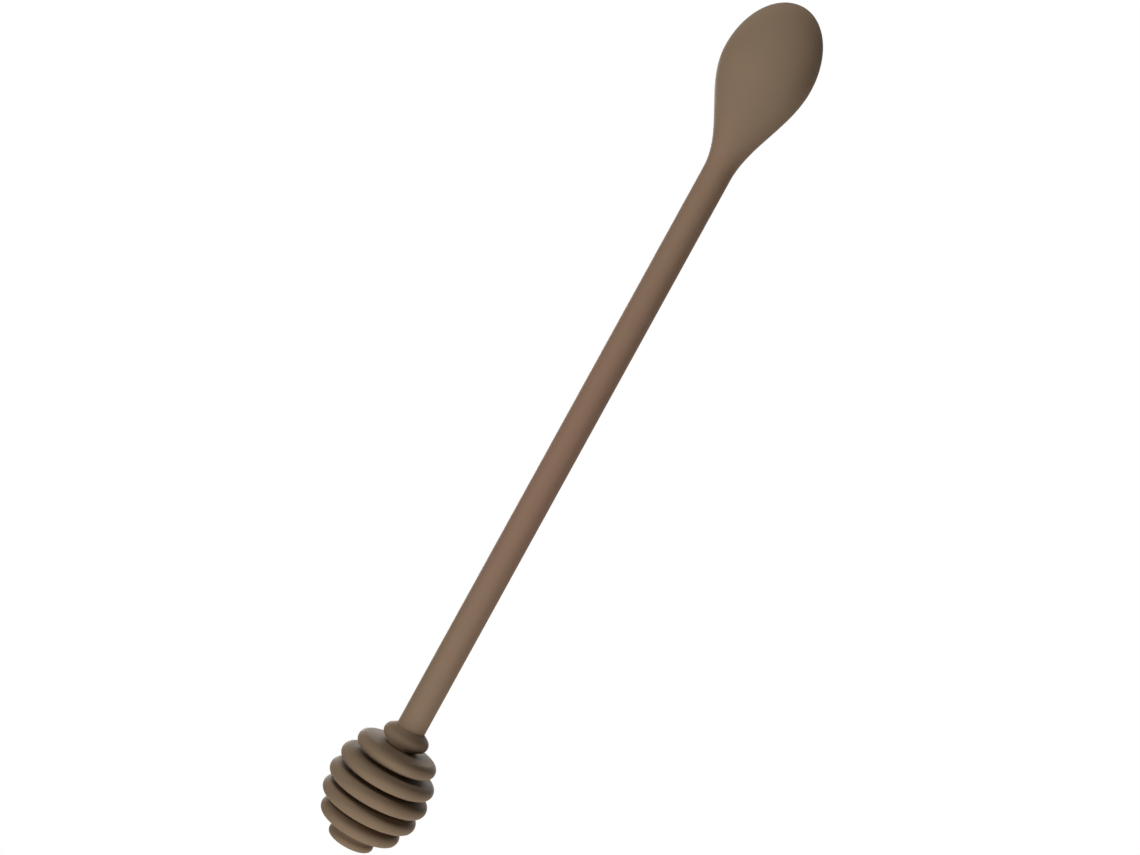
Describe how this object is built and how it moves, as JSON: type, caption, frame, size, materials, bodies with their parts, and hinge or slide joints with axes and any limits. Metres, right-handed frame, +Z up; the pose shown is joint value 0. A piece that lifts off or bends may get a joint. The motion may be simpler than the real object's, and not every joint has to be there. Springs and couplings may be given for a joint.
{
  "type": "honey dipper",
  "caption": "Double-ended honey tool: a grooved dipper head on one end of a thin round handle and a small deep spoon on the other, soft mouldings over a stiff core.",
  "frame": {"origin": "on the plane that the tool lies on, under the middle of its length, in its plane of symmetry", "axes": "+X along the handle from the dipper head to the spoon, +Z up, out of the open bowl, +Y across the tool"},
  "size_m": [0.24, 0.0276, 0.0276],
  "materials": {
    "silicone": "matt moulded silicone, soft sheen",
    "head_silicone": "matt moulded silicone, soft sheen",
    "core_nylon": "plain moulded nylon, hidden",
    "rod_steel": "drawn stainless rod, hidden"
  },
  "bodies": {
    "root": {"spoon_handle_skin": "silicone", "dipper_head": "head_silicone", "core_rod": "rod_steel", "spoon_blade": "core_nylon", "head_hub": "core_nylon"}
  },
  "joints": []
}
